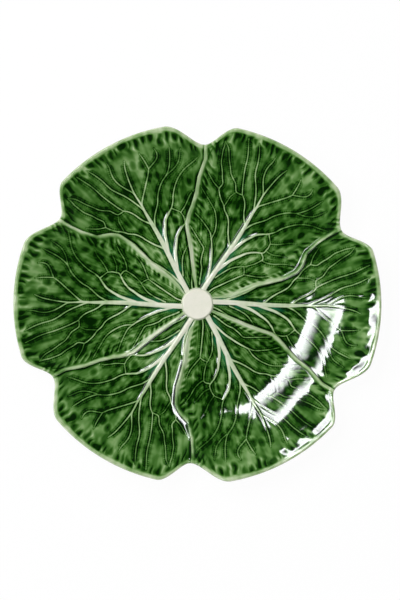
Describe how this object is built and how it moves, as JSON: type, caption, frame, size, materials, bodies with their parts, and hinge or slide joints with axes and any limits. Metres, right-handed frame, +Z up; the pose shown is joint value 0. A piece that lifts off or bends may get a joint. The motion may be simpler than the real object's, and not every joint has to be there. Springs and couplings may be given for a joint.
{
  "type": "cabbage plate",
  "caption": "Round ceramic dinner plate moulded as overlapping cabbage leaves around a cut stalk, with raised midribs and side veins, a lobed rim and a foot ring.",
  "frame": {"origin": "middle of the face that the foot ring stands on", "axes": "+Z up out of the plate, +X out along the middle of the first leaf, which is a lower leaf; the others follow at even steps, anticlockwise seen from above"},
  "size_m": [0.265, 0.255, 0.03],
  "materials": {
    "leaf_glaze": "glossy green glaze",
    "rib_glaze": "glossy cream glaze",
    "vein_glaze": "glossy pale green glaze",
    "foot_glaze": "glossy green glaze"
  },
  "bodies": {
    "root": {"foot_ring": "foot_glaze", "base": "foot_glaze", "stalk_end": "rib_glaze", "leaf_1": "leaf_glaze", "leaf_2": "leaf_glaze", "leaf_3": "leaf_glaze", "leaf_4": "leaf_glaze", "leaf_5": "leaf_glaze", "leaf_6": "leaf_glaze", "midrib_1": "rib_glaze", "midrib_2": "rib_glaze", "midrib_3": "rib_glaze", "midrib_4": "rib_glaze", "midrib_5": "rib_glaze", "midrib_6": "rib_glaze", "side_veins_1": "vein_glaze", "side_veins_2": "vein_glaze", "side_veins_3": "vein_glaze", "side_veins_4": "vein_glaze", "side_veins_5": "vein_glaze", "side_veins_6": "vein_glaze"}
  },
  "joints": []
}
